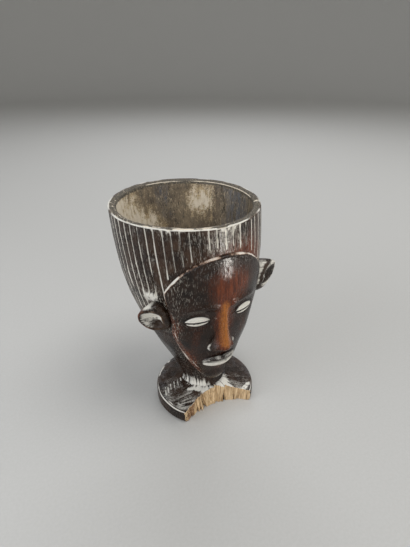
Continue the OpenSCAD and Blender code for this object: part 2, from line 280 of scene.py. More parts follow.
def relief(name, x, z, rise, masks, sunk=0.8):
    """Closed piece that lies on the head: its carved front, and a plain back sunk into what carries it."""
    masks = {label: np.broadcast_to(values, x.shape) for label, values in masks.items()}
    # An outline that runs the other way round is turned, so that every face looks outwards
    if np.sum(x[0] * np.roll(z[0], -1) - np.roll(x[0], -1) * z[0]) < 0:
        x, z, rise = x[:, ::-1], z[:, ::-1], rise[:, ::-1]
        masks = {label: values[:, ::-1] for label, values in masks.items()}
    middle = np.array([x[-1].mean(), z[-1].mean()])
    edge = np.stack([x[0], z[0]], -1)
    back = patch([0.1, 0.4, 0.7, 1], edge, middle)
    under = np.minimum(rise[0], rise[-1].mean())[None, :] - sunk
    rows = np.concatenate([on_round(back[..., 0], back[..., 1], np.broadcast_to(under, back.shape[:2])),
                           on_round(x, z, rise)])
    whole = {label: np.concatenate([np.zeros(back.shape[:2]), values]) for label, values in masks.items()}
    return skin(name, rows, whole)


# Materials

def tint(code):
    """Linear colour of an sRGB hex value."""
    parts = [int(code[k:k + 2], 16) / 255 for k in (1, 3, 5)]
    return [c / 12.92 if c <= 0.04045 else ((c + 0.055) / 1.055) ** 2.4 for c in parts] + [1.0]


def add(tree, kind, inputs=(), pick=0, **settings):
    """Adds a node, sets its settings, sets its inputs or links them, and gives the picked output."""
    made = tree.nodes.new(kind)
    for key, value in settings.items():
        setattr(made, key, value)
    for key, value in dict(inputs).items():
        if isinstance(value, bpy.types.NodeSocket):
            tree.links.new(value, made.inputs[key])
        else:
            made.inputs[key].default_value = value
    return made.outputs[pick]


def carved_wood(name, dark, warm, worn, clay, raw, gloss, pores, torn=0.0, crumbled=0.65, dusty=0.7):
    """Tropical hardwood cut with a knife, dyed dark, handled for years and rubbed here and there with clay.
    The eye sees a near-black ground that glows red-brown where hands thinned the dye, long grain and open
    pores along the block, pale dust in fine scratches, a broken satin shine, and chalky clay in the cuts.
    Each colour but worn is a pair. gloss is the roughness of thick and of thin polish, torn says how far
    the edges of the wear follow the fibres, crumbled how ragged they are, and dusty how much dust shows."""
    made = bpy.data.materials.new(name)
    made.use_nodes = True
    tree = made.node_tree
    shader = tree.nodes["Principled BSDF"]
    place = add(tree, "ShaderNodeTexCoord", pick="Object")

    # Fibres of about 1.1 mm, drawn coarser than real ones so that they show, stretched along the block
    fibre_mm, fibre_stretch = 1.1, 0.06
    along = add(tree, "ShaderNodeMapping", {"Vector": place, "Scale": (1, 1, fibre_stretch)})
    fibre = add(tree, "ShaderNodeTexNoise",
                {"Vector": along, "Scale": 1 / (fibre_mm * MM), "Detail": 4, "Roughness": 0.62})
    grain = add(tree, "ShaderNodeMapRange", {"Value": fibre, "From Min": 0.33, "From Max": 0.67})
    # Open pores, dark dashes about 0.5 mm wide and 8 mm long, drawn coarser than real ones
    pore_mm = 0.5
    pore = add(tree, "ShaderNodeTexNoise", {"Vector": along, "Scale": 1 / (pore_mm * MM), "Detail": 1})
    pore = add(tree, "ShaderNodeMapRange",
               {"Value": pore, "From Min": 0.58, "From Max": 0.7, "To Max": pores},
               interpolation_type="SMOOTHSTEP")
    # Scratches that hold dust, about 0.55 mm wide and 2.3 mm long, drawn coarser than real ones
    scratch_mm, scratch_stretch = 0.55, 0.24
    across = add(tree, "ShaderNodeMapping", {"Vector": place, "Scale": (1, 1, scratch_stretch)})
    scratch = add(tree, "ShaderNodeTexNoise",
                  {"Vector": across, "Scale": 1 / (scratch_mm * MM), "Detail": 2, "Distortion": 0.4})
    scratch = add(tree, "ShaderNodeMapRange",
                  {"Value": scratch, "From Min": 0.53, "From Max": 0.66}, interpolation_type="SMOOTHSTEP")
    # Patches of about 9 mm where the dye and the polish are thicker or thinner
    patch_mm = 9
    cloud = add(tree, "ShaderNodeTexNoise",
                {"Vector": place, "Scale": 1 / (patch_mm * MM), "Detail": 3, "Roughness": 0.55})
    # Crumbs of about 0.8 mm that break up the clay and the edges of the wear
    crumb_mm = 0.8
    crumb = add(tree, "ShaderNodeTexNoise",
                {"Vector": place, "Scale": 1 / (crumb_mm * MM), "Detail": 3, "Roughness": 0.7})

    # Each mask is painted on the mesh and gets a crumbled edge of its own softness
    share = {}
    edge = add(tree, "ShaderNodeMix", {0: torn, 2: crumb, 3: fibre})
    bare = 0.345 - crumbled / 2
    for label, soft in (("warm", 0.78), ("worn", 0.58), ("raw", 0.18), ("dust", 0.58), ("clay", 0.43)):
        painted = add(tree, "ShaderNodeAttribute", pick="Fac", attribute_name=label)
        ragged = add(tree, "ShaderNodeMath", {0: edge, 1: -crumbled, 2: painted}, operation="MULTIPLY_ADD")
        share[label] = add(tree, "ShaderNodeMapRange",
                           {"Value": ragged, "From Min": bare, "From Max": bare + soft},
                           interpolation_type="SMOOTHSTEP")
    settled = add(tree, "ShaderNodeMath", {0: scratch, 1: dusty}, operation="MULTIPLY")
    share["dust"] = add(tree, "ShaderNodeMath", {0: share["dust"], 1: settled}, operation="MULTIPLY")
    thin_dye = add(tree, "ShaderNodeMapRange", {"Value": cloud, "From Min": 0.35, "From Max": 0.75})

    # Colour, from the ground up
    blended = {}
    for label, (dull, bright), by in (("warm", warm, grain), ("raw", raw, grain), ("clay", clay, crumb)):
        blended[label] = add(tree, "ShaderNodeMix", {0: by, 6: tint(dull), 7: tint(bright)},
                             pick=2, data_type="RGBA")
    layers = ((tint(dark[1]), thin_dye), (blended["warm"], share["warm"]), (tint(worn), share["worn"]),
              (blended["raw"], share["raw"]), (tint(dark[0]), pore), (tint(clay[0]), share["dust"]),
              (blended["clay"], share["clay"]))
    colour = tint(dark[0])
    for above, amount in layers:
        colour = add(tree, "ShaderNodeMix", {0: amount, 6: colour, 7: above}, pick=2, data_type="RGBA")
    tree.links.new(colour, shader.inputs["Base Color"])

    shine = add(tree, "ShaderNodeMapRange", {"Value": cloud, "From Min": 0.3, "From Max": 0.7,
                                             "To Min": gloss[0], "To Max": gloss[1]})
    shine = add(tree, "ShaderNodeMath", {0: scratch, 1: 0.12, 2: shine}, operation="MULTIPLY_ADD")
    chalky = add(tree, "ShaderNodeMath", {0: share["clay"], 1: share["raw"]}, operation="MAXIMUM")
    rough = add(tree, "ShaderNodeMix", {0: chalky, 2: shine, 3: 0.85})
    tree.links.new(rough, shader.inputs["Roughness"])
    shader.inputs["IOR"].default_value = 1.5
    shader.inputs["Specular IOR Level"].default_value = 0.3

    height = add(tree, "ShaderNodeMath", {0: fibre, 1: pore}, operation="SUBTRACT")
    height = add(tree, "ShaderNodeMath", {0: scratch, 1: -0.7, 2: height}, operation="MULTIPLY_ADD")
    lumps = add(tree, "ShaderNodeMath", {0: crumb, 1: 2.0}, operation="MULTIPLY")
    height = add(tree, "ShaderNodeMath", {0: share["clay"], 1: lumps, 2: height}, operation="MULTIPLY_ADD")
    bump = add(tree, "ShaderNodeBump", {"Height": height, "Strength": 0.45, "Distance": 0.25 * MM})
    tree.links.new(bump, shader.inputs["Normal"])
    return made


# Colours that the finishes share: rubbed clay, whose pale colour also paints some highlights and sheen,
# freshly broken wood, dye worn red by hands
CLAY = ("#b4afa3", "#f2efe7")
RAW = ("#94724a", "#ecd1a9")
RED = ("#361508", "#74391c")
# Hair, ears and foot: dye rubbed brown on the ridges, satin
combed_wood = carved_wood(
    "dyed_hardwood_combed_and_handled", ("#1a110b", "#3a2719"), RED, "#8d6b4c", CLAY, RAW, (0.17, 0.33), 0.5)
# Face and neck: the darkest and the glossiest, polished by hands
polished_wood = carved_wood(
    "dyed_hardwood_hand_polished", ("#140c08", "#2e1d13"), RED, "#a8682e", CLAY, RAW, (0.14, 0.28), 0.5)
# Rim and hollow of the cup: matt grey-brown, bleached by drink, with grey soot where other pieces are red
# and dark stain where they are raw
stained_wood = carved_wood(
    "stained_hardwood_gouged_matt", ("#5a4f43", "#8f8069"), ("#46494e", "#74787d"), "#b8a077",
    ("#bfae92", "#faf1e0"), ("#2f2b25", "#6a645a"), (0.4, 0.6), 0.85, torn=0.3, crumbled=1.6, dusty=1.0)
# Eyes and lips: chalky white clay over dyed wood
clayed_wood = carved_wood(
    "kaolin_rubbed_hardwood", ("#140f0c", "#2a1c15"), RED, "#8a5a36", CLAY, RAW, (0.25, 0.45), 0.4)


# Pieces

WEAR = ("clay", "worn", "warm", "raw", "dust")


def keep(rows, masks, points, **values):
    """Adds one loop of points, with the wear and clay on it."""
    rows.append(points)
    for label in WEAR:
        masks.setdefault(label, []).append(np.broadcast_to(values.get(label, 0.0), points.shape[:1]))


def dress(piece, material, slot, *nodes):
    """Gives a piece its material and its place in the part."""
    piece.data.materials.append(material)
    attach(piece, "root")
    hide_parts(*nodes)


# Old chip in the rim, in degrees of turn
CHIP_TURN = 66


def rim_wave(turn):
    """Unevenness of the hand-cut rim, which only takes wood away."""
    waves, wave_d, chip_d, chip_half = 9, 0.7, 0.9, 2.4
    chip = chip_d * about(turn, CHIP_TURN, chip_half)
    return -wave_d * mottle_round(turn, waves, np.zeros_like(turn), 3) - chip


def cup():
    """Inner vessel: hidden outer wall, the whole rim, and the gouged hollow down to its floor."""
    columns = 480
    turn = once_round(columns)
    rows, masks = [], {}
    # Hidden wall behind the hair
    top = rim_z(turn, RIM_R) + rim_wave(turn)
    for share in np.linspace(0, 1, 10):
        z = NAPE_Z + (top - 1.5 - NAPE_Z) * share
        keep(rows, masks, leaning(turn, z, head_r(z) - HAIR_T))
    # Rim, slightly crowned, scratched, with a rounded inner edge
    inner = RIM_R - RIM_WALL
    lap, crown, edge, scratch_d = 0.5, 0.35, 0.9, 0.12
    near_left = about(turn, -80, 45)
    for share in np.linspace(0, 1, 11):
        r = RIM_R - lap + (inner + edge - RIM_R + lap) * share
        dip = crown * abs(2 * share - 1) ** 3
        scratch = mottle(turn * 46 + share * 2.2, share * 6 + turn * 0, 8)
        nick = ease(0.6, 0.8, mottle(turn * 8, share * 4 + turn * 0, 97)) * about(turn, -28, 42)
        z = rim_z(turn, r) + rim_wave(turn) - dip - scratch_d * scratch
        chalk = (0.7 * scratch ** 4 + 0.75 * nick + (0.5 + 0.4 * near_left) * bell(share, 0.1)
                 + 0.5 * near_left * scratch ** 2 + 0.9 * about(turn, CHIP_TURN, 1.1))
        keep(rows, masks, leaning(turn, z, r), clay=chalk, raw=1.0, dust=0.35 + 0.35 * scratch)
    patchy = mottle(turn * 13, turn * 0, 8)
    # Clay on the inner edge, along the side away from the face, partly a painted highlight along that rounded
    # edge
    far_side = ease(66, 54, np.abs(degrees_from(turn, 134))) * (1 - 0.8 * about(turn, 154, 9))
    for angle in np.radians([25, 50, 75]):
        r = inner + edge * (1 - math.sin(angle))
        z = rim_z(turn, r) + rim_wave(turn) - crown - edge * (1 - math.cos(angle))
        chalk = 0.1 + far_side * (0.65 + 0.5 * patchy) * bell(math.degrees(angle) - 50, 20)
        keep(rows, masks, leaning(turn, z, r), clay=chalk, raw=1.0, dust=0.5)
    # Gouged hollow
    gouge_d, streak_d, speck_d = 0.45, 0.25, 0.12
    start = rim_z(turn, inner) + rim_wave(turn) - crown - edge
    for share in np.sin(np.linspace(0.02, math.pi / 2, 120)):
        z = start + (FLOOR_Z - start) * share
        wall = LOW_WALL + (RIM_WALL - LOW_WALL) * np.clip((z - FLOOR_Z) / (RIM_Z - FLOOR_Z), 0, 1)
        low = np.clip((FLOOR_Z + FLOOR_ROUND - z) / FLOOR_ROUND, 0, 0.9995)
        r = (head_r(z) - wall) * (1 - low ** FLOOR_BEND) ** (1 / FLOOR_BEND)
        gouge = knife_round(turn, 64, z / 17 + mottle(turn * 9, z * 0, 5), 21)
        streak = mottle_round(turn, 160, z / 6, 33)
        blotch = mottle_round(turn, 36, z / 6, 34)
        speck = mottle_round(turn, 200, z / 1.6, 35)
        # Pale cream patches; the last, a crescent just under the rim on the left, is also painted light on a
        # wall that faces away from the lamps
        pale = (0.9 * about(turn, 226, 22) * bell(z - 120, 24)
                + 0.95 * about(turn, 141, 17) * bell(z - 122, 15)
                + 0.8 * about(turn, 197, 20) * bell(z - 108, 16)
                + 1.1 * about(turn, 247, 13) * bell(start - z - 4, 6))
        soot = 0.95 * about(turn, 98, 32) + 0.8 * about(turn, 178, 14) * ease(100, 118, z)
        r = r - gouge_d * gouge * ease(0, 8, r) + streak_d * (streak - 0.5) + speck_d * (speck - 0.5)
        keep(rows, masks, leaning(turn, z, r),
             clay=pale * (0.1 + 0.5 * streak + 0.35 * blotch + 0.4 * speck),
             worn=pale * (0.7 + 0.35 * blotch) + 0.35 * gouge * streak + 0.3 * speck * streak,
             warm=soot * (0.6 + 0.5 * streak),
             raw=0.55 * (1 - streak) * (1 - 0.5 * pale),
             dust=0.25 + 0.35 * speck + 0.3 * blotch)
    dress(skin("cup_bowl_gouged", np.array(rows), masks), stained_wood, "cup_wood", "cup_bowl")


def coiffure():
    """Layer of hair: crowned strands between knife-cut lines that were rubbed with clay."""
    # Points across one strand to the next, close together at the cut line
    places = np.array([-0.5, -0.36, -0.22, -0.14, -0.1, -0.06, 0, 0.06, 0.1, 0.14, 0.22, 0.36])
    pitch = 2 * math.pi / HAIR_LINES
    line = np.repeat(np.arange(HAIR_LINES), len(places))
    across = np.tile(places, HAIR_LINES)
    turn = (line + 0.5 + across) * pitch
    side = side_of((line + 0.5) * pitch)
    # The combed surface starts a little inside the solid, so that its crowns and knife marks stay within
    inside, crown_h, knife_d, lump_h, bevel = 0.25, 0.07, 0.22, 0.8, 0.8
    top = rim_z(turn, RIM_R) + rim_wave(turn)
    ear_top = EAR_Z + np.where(turn < math.pi, EAR_LIFT, -EAR_LIFT) + EAR_H / 2
    ends = np.where(side < EAR_FRONT_TURN, hairline_at(side),
                    np.where(side < EAR_TURN + EAR_HALF_TURN, ear_top, NAPE_Z))
    # Lines beside the figure's left ear, cut more evenly than the rest
    neat = about((line + 0.5) * pitch, 46, 22)
    line_foot = ends + 0.8 - 0.6 * neat + 2.4 * scatter(line, 1, 4) * (1 - 0.8 * neat)
    line_depth = LINE_D * (0.8 + 0.5 * scatter(line, 3, 4))
    line_clay = 0.7 + 0.5 * scatter(line, 4, 4)
    rows, masks = [], {}

    def comb(z, inset=0.0, edge_worn=0.0):
        """One loop of the combed outside at heights on the axis."""
        wander = 0.2 * pitch * (mottle(line * 3.7, z / 30, 6) - 0.5)
        cut = ease(0, 1.6, z - line_foot) * ease(0.2, 1.2, top - z)
        groove = cut * bell(across, 0.085) * (0.75 + 0.5 * mottle(line * 5.3, z / 6, 7))
        crown = crown_h * (1 - (2 * across) ** 2)
        marks = knife_d * knife_round(turn, 40, z / 11, 11)
        lump = about(turn, -58, 8) * bell(z - 89, 3.2) * (0.35 + mottle(turn * 50, z / 1.3, 14))
        r = head_r(z) - inside + crown + marks + lump_h * lump - 1.15 * line_depth * groove - inset
        broken = mottle(line * 2.9, z / 9, 9) * (0.5 + mottle(line * 7.1, z / 1.6, 10))
        aside = about(turn, -82, 34)
        packed = 0.4 + 0.85 * broken + 0.35 * aside + 0.45 * neat
        chalk = cut * (bell(across - 0.055 * neat, 0.076 + 0.032 * aside) * packed) * line_clay
        torn = mottle(turn * 14, z / 5, 12)
        smeared = about(turn, -38, 16) + 0.8 * about(turn, 6, 12)
        smear = smeared * ease(4.5, 0.3, top - z) * mottle(turn * 30, z / 1.3, 15)
        left = about(turn, -64, 30) * ease(36, 0, z - 84)
        # A pale patch high on the front of the hair: scuffs and clay, and partly a painted highlight where
        # the hair's gloss shows
        mottled_patch = about(turn, 4, 13) * bell(z - 117.5, 9.5) * (
            0.6 * mottle(turn * 22, z / 0.9, 13) + 0.5 * mottle(turn * 60, z / 2.2, 16))
        glow = (0.75 * about(turn, 3, 22) + 0.6 * about(turn, 30, 24)
                + 0.35 * about(turn, -28, 14)) * ease(30, 0, z - HAIRLINE_Z + 8) + 0.25 * neat
        keep(rows, masks, leaning(turn + wander, z, r),
             clay=chalk + 0.45 * left * torn ** 2 + 0.9 * lump + 0.85 * smear + 0.75 * mottled_patch,
             worn=edge_worn + 0.4 * mottled_patch,
             warm=glow,
             dust=0.25 + 0.4 * torn + 0.4 * left + mottled_patch + 0.6 * smear)

    # Rolled lower edge at the nape, then the combed surface up to the bevelled rim
    for rise, inset in ((-0.3, 1.0), (0.0, 0.55), (0.5, 0.2), (1.2, 0.0)):
        comb(np.full(turn.shape, NAPE_Z + rise), inset, 0.2)
    for share in np.linspace(0.015, 1, 92):
        z = NAPE_Z + 1.2 + (top - bevel - NAPE_Z - 1.2) * share
        comb(z, 0, 0.35 * ease(1.2, 0, top - z - bevel))
    chip = ease(0.72, 0.95, mottle_round(turn, 31, turn * 0, 17))
    front_left = about(turn, -45, 60)
    wear = (0.12 + 0.45 * front_left + 0.55 * mottle_round(turn, 50, turn * 0, 18)
            + 0.3 * mottle(turn * 9, turn * 0, 19))
    for angle in np.radians([30, 60, 90]):
        inset = bevel * (1 - math.cos(angle)) + 0.25 * chip
        z = top - bevel * (1 - math.sin(angle)) - 0.35 * chip
        keep(rows, masks, leaning(turn, z, head_r(z) - inset), clay=wear, worn=0.5)
    # Plain back against the wall of the cup
    for share in (1, 0.66, 0.33, 0):
        z = NAPE_Z + (top - 1.2 - NAPE_Z) * share
        keep(rows, masks, leaning(turn, z, head_r(z) - HAIR_T + 0.4))
    dress(skin("coiffure_combed", np.array(rows), masks, ring=True), combed_wood, "dark_wood", "coiffure")


def nose_rise(x, z):
    """Straight nose: narrow root, rounded ridge, wings at the nostrils and a short underside."""
    down = (BROW_Z - z) / (BROW_Z - NOSE_Z)
    grown = np.clip(down, 0, 1)
    half = EYE_W * (0.17 + 0.33 * grown ** 2.4)
    u = np.clip(np.abs(x) / half, 0, 1)
    ridge = NOSE_OUT * (0.1 + 0.9 * grown ** 1.3) * (1 - 0.35 * np.clip((down - 0.88) / 0.12, 0, 1.4) ** 2)
    wing = 2.2 * bell(np.abs(x) / half - 0.74, 0.24) * bell(down - 0.92, 0.1)
    dent = 1.1 * bell(np.abs(x) - 0.26 * EYE_W, 1.1) * bell(down - 1.02, 0.04)
    fade = ease(-0.12, 0.12, down) * ease(1.075, 0.985, down)
    return (ridge * (1 - u ** 1.6) ** 1.25 + wing) * fade - dent


def almond_share(x, z):
    """Distance from the middle of the nearer eye, as a share of the almond of its lids: 1 on its outline."""
    off_x = (np.abs(x) - EYE_W) / (EYE_W / 2)
    off_z = (z - EYE_Z) / (0.25 * EYE_W)
    return np.hypot(off_x, off_z * (1 + 0.75 * np.clip(np.abs(off_x), 0, 1.3) ** 3))


def face_rise(x, z):
    """Carved height of the face over the round of the head, with its brow, sockets, cheeks and nose."""
    side = np.abs(x)
    turn = side / head_r(z)
    u = np.clip(turn / np.maximum(edge_turn(z), 1e-3), 0, 1)
    shield = HAIR_STEP + (JAW_STEP - HAIR_STEP) * np.clip((HAIRLINE_Z - z) / FACE_H, 0, 1) ** 1.5
    swells = [(1.4, 0, EYE_W, HAIRLINE_Z - FACE_H / 6, FACE_H / 9),
              (-2.2, EYE_W, EYE_W * 0.62, EYE_Z, FACE_H / 16),
              (1.3, EYE_W * 1.15, EYE_W * 0.55, NOSE_Z + FACE_H / 15, FACE_H / 11),
              (3.0, 0, EYE_W * 0.85, MOUTH_Z, FACE_H / 9),
              (2.6, 0, EYE_W * 0.55, CHIN_Z + FACE_H / 18, FACE_H / 18)]
    soft = sum(h * bell(side - at, wide) * bell(z - up, tall) for h, at, wide, up, tall in swells)
    brow_at = BROW_Z + 1.4 - 3.0 * ((side - 0.9 * EYE_W) / EYE_W) ** 2
    brow = 1.3 * bell(z - brow_at, 2.0) * ease(1.7 * EYE_W, 1.2 * EYE_W, side) * ease(0, 0.35 * EYE_W, side)
    lid_rim = 0.75 * bell(almond_share(x, z) - 1.16, 0.14)
    philtrum = -0.5 * bell(x, 1.3) * bell(z - (NOSE_Z + MOUTH_Z) / 2 - 1, 3)
    return shield * (1 - 0.35 * u ** 10) + (soft + brow + lid_rim + philtrum) * (1 - u ** 4) + nose_rise(x, z)


def distance_to(outline, x, z):
    """Distance from points to a closed outline."""
    nearest = np.full(x.shape, 99.0)
    for (ax, az), (bx, bz) in zip(outline, np.roll(outline, -1, axis=0)):
        run_x, run_z = bx - ax, bz - az
        share = np.clip(((x - ax) * run_x + (z - az) * run_z) / (run_x ** 2 + run_z ** 2 + 1e-9), 0, 1)
        nearest = np.minimum(nearest, np.hypot(x - ax - run_x * share, z - az - run_z * share))
    return nearest


def face_wear(x, z, edge):
    """Wear and clay on the face, at distances from its edge."""
    turn = np.degrees(x / head_r(z))
    torn = mottle(x / 5, z / 5, 44)
    fleck = mottle(x / 1.2, z / 1.2, 46)
    upper = ease(CORNER_Z - 8, CORNER_Z + 2, z)
    along_edge = 0.45 * bell(turn + 42, 16) + 0.65 + 0.4 * ease(6, 20, turn)
    worn_edge = bell(edge - 0.4, 0.8) * upper * along_edge * (0.2 + 0.7 * torn + 0.45 * fleck)
    left_edge = (bell(edge - 0.6, 1.5) * ease(18, 32, turn) * ease(34, 54, z)
                 * (0.1 + 0.6 * torn + 0.6 * fleck))
    caked = 0.26 + 0.16 * ease(66, 78, z) + 0.2 * mottle(z / 4, edge * 0.5, 47) + 0.14 * fleck
    cheek_edge = bell(edge - 1.4, 3.2) * ease(22, 34, turn) * ease(38, 50, z) * ease(97, 86, z) * caked
    jaw_band = (bell(edge - 1.4, 3.6) * ease(-16, -30, turn) * ease(90, 74, z)
                * (0.35 + 0.9 * mottle(edge * 1.6, z / 9, 45)))
    wing_at = EYE_W * (0.5 - 0.012 * (z - NOSE_Z - 2) ** 2)
    beside_nose = (0.75 * bell(np.abs(x) - wing_at, 0.9) * bell(z - NOSE_Z - 2, 3.6)
                   * (0.3 + torn + 0.4 * fleck))
    round_mouth = 0.5 * bell(np.abs(x) - 0.8 * EYE_W, 1.4) * bell(z - MOUTH_Z, 5) * torn
    round_eye = 0.42 * bell(almond_share(x, z) - 1.42, 0.2) * fleck * (0.3 + torn)
    ridge = bell(x, 0.2 * EYE_W + 1.2) * ease(NOSE_Z - 1, NOSE_Z + 6, z) * ease(BROW_Z + 16, BROW_Z - 2, z)
    below_brow = ease(BROW_Z + 2, BROW_Z - 14, z)
    handled = mottle(x / 7, z / 12, 48) * below_brow
    dusty = mottle(x / 6, z / 8, 49) * below_brow
    return {
        "clay": (0.9 * worn_edge + 0.12 * left_edge + cheek_edge + 0.55 * jaw_band ** 2
                 + beside_nose + round_mouth + round_eye),
        "worn": 1.1 * worn_edge + 0.5 * jaw_band + 0.75 * ridge * ease(0, 12, BROW_Z + 12 - z),
        "warm": (0.9 * bell(x, 13) * bell(z - BROW_Z - 13, 15) + 1.2 * ridge
                 + 0.45 * bell(x - 14, 9) * bell(z - BROW_Z - 10, 12) + 0.8 * jaw_band + 0.66 * handled),
        "dust": (0.2 + 0.3 * jaw_band + 0.25 * torn * ease(14, 0, edge) + 0.3 * dusty
                 + 0.36 * bell(x + 20, 14) * bell(z - BROW_Z - 10, 16)),
    }


def face():
    """Raised face with the nose carved in one with it, and a rounded worn edge."""
    columns = 360
    angle = once_round(columns)
    middle = np.array([0.0, 66.0])
    # The outline, found along rays from the middle
    steps = np.linspace(0, 62, 3000)[:, None]
    ray_x = steps * np.sin(angle)
    ray_z = middle[1] + steps * np.cos(angle)
    inside = ((np.abs(ray_x) / head_r(ray_z) < edge_turn(ray_z))
              & (ray_z > CHIN_Z + 0.1) & (ray_z < HAIRLINE_Z - 0.1))
    reach = steps[np.argmin(inside, axis=0) - 1, 0]
    outline = np.stack([reach * np.sin(angle), middle[1] + reach * np.cos(angle)], -1)
    shares = np.concatenate([[1, 0.998, 0.993, 0.985, 0.974, 0.96], np.linspace(0.948, 0.012, 104)])
    at = patch(shares, outline, middle)
    x, z = at[..., 0], at[..., 1]
    edge = distance_to(outline, x, z)
    edge_round, edge_sunk, knife_d = 1.1, 0.3, 0.16
    rolled = np.sqrt(1 - (1 - np.clip(edge / edge_round, 0, 1)) ** 2)
    marks = knife_d * knife(x / 4.2, z / 7, 41) * ease(0, 6, edge)
    rise = (face_rise(x, z) + edge_sunk) * rolled - edge_sunk + marks
    masks = face_wear(x, z, edge)
    dress(relief("face_carved", x, z, rise, masks), polished_wood, "dark_wood", "face", "nose")


def eye(side, name, node):
    """Almond of lowered lids with a nearly level slit, rubbed white."""
    columns = 120
    angle = once_round(columns)
    tall = 0.25 * EYE_W
    almond = np.stack([side * EYE_W + EYE_W / 2 * np.cos(angle),
                       EYE_Z + tall * np.sin(angle) * np.abs(np.sin(angle)) ** 0.35], -1)
    shares = np.concatenate([np.cos(np.linspace(0, 0.6, 9)), np.linspace(0.79, 0.02, 30)])
    at = patch(shares, almond, np.array([side * EYE_W, EYE_Z]))
    x, z = at[..., 0], at[..., 1]
    share = np.broadcast_to(shares[:, None], x.shape)
    from_middle = x - side * EYE_W
    slit_z = EYE_Z - 0.8 + 0.012 * from_middle ** 2
    slit = bell(z - slit_z, 0.55) * ease(0.5 * EYE_W, 0.36 * EYE_W, np.abs(from_middle))
    dome = np.sqrt(np.clip(1 - share ** 2, 0, 1))
    edge_sunk, slit_d = 0.5, 1.2
    rise = face_rise(x, z) - edge_sunk + (LID_OUT + 0.3) * dome - slit_d * slit
    chalk = ease(0.97, 0.86, share) * (0.75 + 0.35 * mottle(x, z, 51))
    masks = {"clay": np.clip(1.15 * chalk - 1.6 * slit, 0, 1),
             "worn": 0.3 * (1 - slit),
             "warm": 0.2 * (1 - slit)}
    dress(relief(name, x, z, rise, masks), clayed_wood, "clay_wood", node)


def lip(way, half_w, bow, clay, name, node, slot):
    """One full lip that swells from the line of the mouth, up or down."""
    columns = 110
    angle = once_round(columns)
    u = np.cos(angle)
    swell = np.clip(np.sin(angle), 0, 1) ** 0.75 * (LIP_H - bow * bell(u, 0.2)) + 0.15
    outline = np.stack([half_w * u, MOUTH_Z + way * swell], -1)
    shares = np.concatenate([np.cos(np.linspace(0, 0.7, 9)), np.linspace(0.72, 0.02, 20)])
    at = patch(shares, outline, np.array([0, MOUTH_Z + way * 0.4 * LIP_H]))
    x, z = at[..., 0], at[..., 1]
    dome = np.sqrt(np.clip(1 - shares[:, None] ** 2, 0, 1)) * (0.45 + 0.55 * (1 - (x / half_w) ** 2))
    edge_sunk = 0.6
    rise = face_rise(x, z) - edge_sunk + (LIP_OUT + 0.5) * dome
    shown = ease(0.99, 0.86, np.broadcast_to(shares[:, None], x.shape))
    masks = {"clay": clay * shown * (0.55 + 0.6 * mottle(x / 2, z, 55)), "worn": 0.25, "warm": 0.35}
    dress(relief(name, x, z, rise, masks), clayed_wood, slot, node)


def ear(side, name, node):
    """Standing ear: a C-shaped roll round a hollow that opens forward, fullest at the back."""
    columns = 160
    angle = once_round(columns)
    back, up = np.cos(angle), np.sin(angle)
    # An outline between an oval, at 2, and a rectangle
    boxy = 2.3
    squared = (np.abs(back) ** boxy + np.abs(up) ** boxy) ** (-1 / boxy)
    outline = np.stack([EAR_W / 2 * back * squared, EAR_H / 2 * up * squared], -1)
    crest, low_roll, fullest = 0.68, 0.35, math.radians(14)
    wall = crest + (1 - crest) * np.sin(np.linspace(math.pi / 2, 0, 22))
    shares = np.concatenate([wall, np.linspace(crest - 0.02, 0.02, 44)])
    at = patch(shares, outline, np.zeros(2))
    u, v = at[..., 0] / (EAR_W / 2), at[..., 1] / (EAR_H / 2)
    share = np.broadcast_to(shares[:, None], u.shape)
    roll = low_roll + (1 - low_roll) * (1 + np.cos(angle - fullest)) / 2
    bed = (1 - EAR_HOLLOW / EAR_OUT) * (0.7 + 0.3 * u)
    inner = bed + (roll - bed) * ease(0.2, crest - 0.02, share)
    outer = roll * np.sqrt(np.clip(1 - ((share - crest) / (1 - crest)) ** 2, 0, 1))
    high = np.where(share > crest, outer, inner)
    pit = bell(u + 0.05, 0.34) * bell(v + 0.36, 0.22)
    fold = bell(u - 0.1 + 0.45 * (v - 0.15) ** 2, 0.13) * ease(0.55, 0.3, share) * ease(-0.3, 0.1, v)
    flap = bell(u + 0.66, 0.16) * bell(v + 0.12, 0.2)
    pit_d, fold_h, flap_h, knife_d = 2.0, 1.1, 0.9, 0.4
    marks = knife_d * knife(u * 2.2, v * 3.2, 62 + side)
    rise = EAR_OUT * high - pit_d * pit + fold_h * fold + flap_h * flap + marks * ease(1, 0.9, share)
    z = EAR_Z + side * EAR_LIFT + at[..., 1]
    x = side * (EAR_TURN * head_r(z) + at[..., 0] + EAR_SWEEP * np.clip(high, 0, 1) ** 2)
    torn = mottle(u * 3, v * 4, 61 + side)
    crumbs = mottle(u * 9, v * 14, 63 + side)
    hollow = ease(0.72, 0.5, share)
    in_hollow = hollow * (0.25 + 0.6 * torn + 0.4 * crumbs) * (1 - 1.2 * pit)
    on_roll = bell(share - crest, 0.12) * (0.35 + 0.4 * torn + 0.5 * crumbs)
    on_top = 0.8 * bell(v - 0.86, 0.16) * bell(u - 0.1, 0.5) * (0.3 + torn)
    at_foot = ease(0.86, 0.98, share) * ease(0.1, -0.5, u) * (0.2 + 0.5 * torn + 0.6 * crumbs)
    masks = {"clay": on_top + (in_hollow if side < 0 else 0.9 * on_roll + 0.25 * in_hollow + 0.9 * at_foot),
             "worn": 0.55 * bell(share - crest, 0.1) * (0.3 + torn),
             "warm": 0.9 * ease(-0.2, 0.5, u) * ease(0.5, 0.7, share), "dust": 0.3 + 0.3 * torn}
    dress(relief(name, x, z, rise, masks, sunk=1.2), combed_wood, "dark_wood", node)


